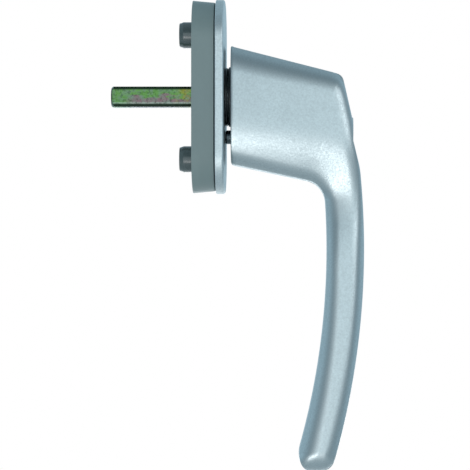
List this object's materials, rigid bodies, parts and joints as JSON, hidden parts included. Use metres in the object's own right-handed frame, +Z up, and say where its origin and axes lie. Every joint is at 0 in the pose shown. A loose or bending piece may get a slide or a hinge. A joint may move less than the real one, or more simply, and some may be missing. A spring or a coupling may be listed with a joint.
{
  "type": "tilt turn handle",
  "caption": "Lockable tilt and turn window handle: curved lever on an oval screw-on rosette with a square drive spindle.",
  "frame": {"origin": "on the spindle axis, at the rosette's back face, where it lies on the sash", "axes": "+X out of the sash into the room along the spindle, +Z up; the lever hangs down (closed) at rest"},
  "size_m": [0.0875, 0.0316, 0.1628],
  "materials": {
    "grey_plastic": "fine satin moulded polyamide",
    "black_plastic": "glossy black acetal",
    "cover_aluminium": "satin anodised",
    "lever_aluminium": "fine blasted, silver anodised",
    "yellow_passivated_steel": "zinc plated, yellow iridescent passivation",
    "zinc_plated_steel": "bright zinc plate",
    "zinc_casting": "as cast, tumbled",
    "bearing_steel": "ground and polished",
    "spring_steel": "drawn wire, oiled",
    "nickel_plate": "nickel plated brass",
    "brass_plate": "stamped brass",
    "dark_steel": "hardened, oil blackened"
  },
  "bodies": {
    "rosette": {"rosette_base": "grey_plastic", "keeper_plate": "zinc_plated_steel", "bearing_collar": "black_plastic", "detent_spring_upper": "spring_steel", "detent_spring_lower": "spring_steel"},
    "cover": {"cover_plate": "cover_aluminium", "cover_liner": "grey_plastic"},
    "lever": {"handle_lever": "lever_aluminium", "neck_ring": "black_plastic", "thrust_washer": "zinc_plated_steel", "retaining_ring": "spring_steel", "spindle": "yellow_passivated_steel", "spindle_pin": "bearing_steel", "detent_hub": "zinc_casting", "lock_housing": "nickel_plate", "bolt_spring": "spring_steel", "lock_set_screw": "dark_steel"},
    "plug": {"lock_plug": "nickel_plate", "tumbler_wafers": "brass_plate", "plug_cam": "zinc_casting", "plug_clip": "spring_steel"},
    "bolt": {"lock_bolt": "dark_steel"},
    "upper_ball": {"detent_ball_upper": "bearing_steel"},
    "lower_ball": {"detent_ball_lower": "bearing_steel"}
  },
  "joints": [
    {"name": "handle_turn", "type": "hinge", "parent": "rosette", "child": "lever", "pos_m": [0, 0, 0], "axis": [1, 0, 0], "range_deg": [0, 180]},
    {"name": "plug_turn", "type": "hinge", "parent": "lever", "child": "plug", "pos_m": [0, 0, -0.01115], "axis": [1, 0, 0], "range_deg": [0, 90]},
    {"name": "bolt_slide", "type": "slide", "parent": "lever", "child": "bolt", "axis": [-1, 0, 0], "range_m": [0, 0.0048], "deforming": ["bolt_spring"]},
    {"name": "cover_turn", "type": "hinge", "parent": "rosette", "child": "cover", "pos_m": [0, 0, 0], "axis": [1, 0, 0], "range_deg": [-90, 0]},
    {"name": "upper_detent", "type": "slide", "parent": "rosette", "child": "upper_ball", "axis": [0, 0, -1], "range_m": [0, 0.0008], "deforming": ["detent_spring_upper"]},
    {"name": "lower_detent", "type": "slide", "parent": "rosette", "child": "lower_ball", "axis": [0, 0, 1], "range_m": [0, 0.0008], "deforming": ["detent_spring_lower"]}
  ],
  "couplings": [
    {"joint": "plug_turn", "follows": "bolt_slide", "rad_per_m": 327.25}
  ]
}
